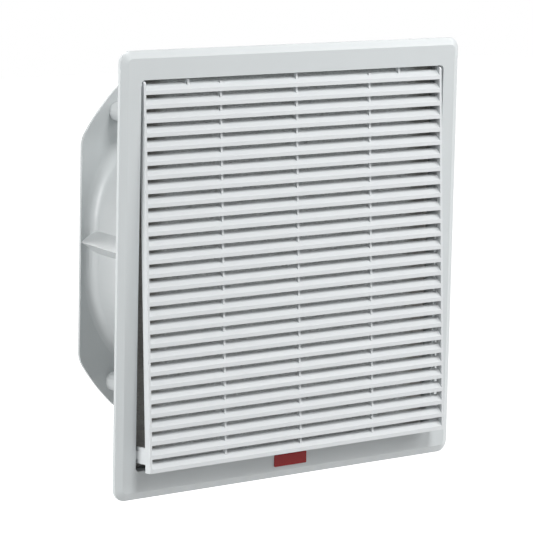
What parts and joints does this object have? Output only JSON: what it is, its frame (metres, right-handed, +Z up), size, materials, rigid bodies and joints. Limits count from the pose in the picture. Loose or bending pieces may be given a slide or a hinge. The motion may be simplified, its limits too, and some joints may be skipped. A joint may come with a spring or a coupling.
{
  "type": "cabinet filter fan",
  "caption": "Filter fan for a cabinet wall: light grey bezel with a hinged louvre grille, filter mat behind it, conical housing and axial fan with wire guard.",
  "frame": {"origin": "middle of the panel cut-out, on the panel's front face", "axes": "+X to the right seen from the front, +Y into the cabinet along the fan's axis, +Z up"},
  "size_m": [0.323, 0.1733, 0.323],
  "materials": {
    "housing_plastic": "light grey moulded plastic with a fine grain",
    "grille_plastic": "whitish grey moulded plastic, smooth",
    "red_plate": "dark red, smooth",
    "gasket_foam": "dark closed-cell foam",
    "spring_steel": "rolled spring steel",
    "filter_fibre": "white bonded fibre",
    "guard_wire": "bright galvanised wire",
    "zinc_screws": "zinc plated",
    "cast_aluminium": "die cast",
    "core_steel": "stacked sheet steel",
    "copper_wire": "varnished copper wire",
    "bearing_steel": "ground steel",
    "rotor_paint": "black paint",
    "blade_plastic": "black moulded plastic",
    "box_plastic": "dark grey moulded plastic",
    "terminal_plastic": "cream moulded plastic",
    "gland_plastic": "grey moulded plastic"
  },
  "bodies": {
    "housing": {"front_frame": "housing_plastic", "panel_gasket": "gasket_foam", "panel_clips": "spring_steel", "badge_plate": "red_plate", "filter_mat": "filter_fibre", "filter_grid": "housing_plastic", "fan_shroud": "housing_plastic", "shroud_screws": "zinc_screws", "guard_grille": "guard_wire", "guard_rings": "guard_wire", "guard_screws": "zinc_screws", "motor_flange": "cast_aluminium", "motor_screws": "zinc_screws", "stator_core": "core_steel", "stator_windings": "copper_wire", "front_bearing": "bearing_steel", "rear_bearing": "bearing_steel", "terminal_box": "box_plastic", "box_screws": "zinc_screws", "terminal_block": "terminal_plastic", "clamp_screws": "zinc_screws", "terminal_lid": "box_plastic", "lid_screws": "zinc_screws", "cable_gland": "gland_plastic", "gland_nut": "gland_plastic"},
    "grille": {"louvre_grille": "grille_plastic"},
    "rotor": {"rotor_shaft": "bearing_steel", "shaft_ring": "spring_steel", "rotor_can": "rotor_paint", "rotor_cage": "cast_aluminium", "impeller": "blade_plastic"}
  },
  "joints": [
    {"name": "grille_hinge", "type": "hinge", "parent": "housing", "child": "grille", "pos_m": [0, -0.00215, 0.13725], "axis": [-1, 0, 0], "range_deg": [-3, 77]},
    {"name": "rotor_spin", "type": "hinge", "parent": "housing", "child": "rotor", "pos_m": [0, 0.11, 0], "axis": [0, 1, 0], "continuous": true}
  ]
}
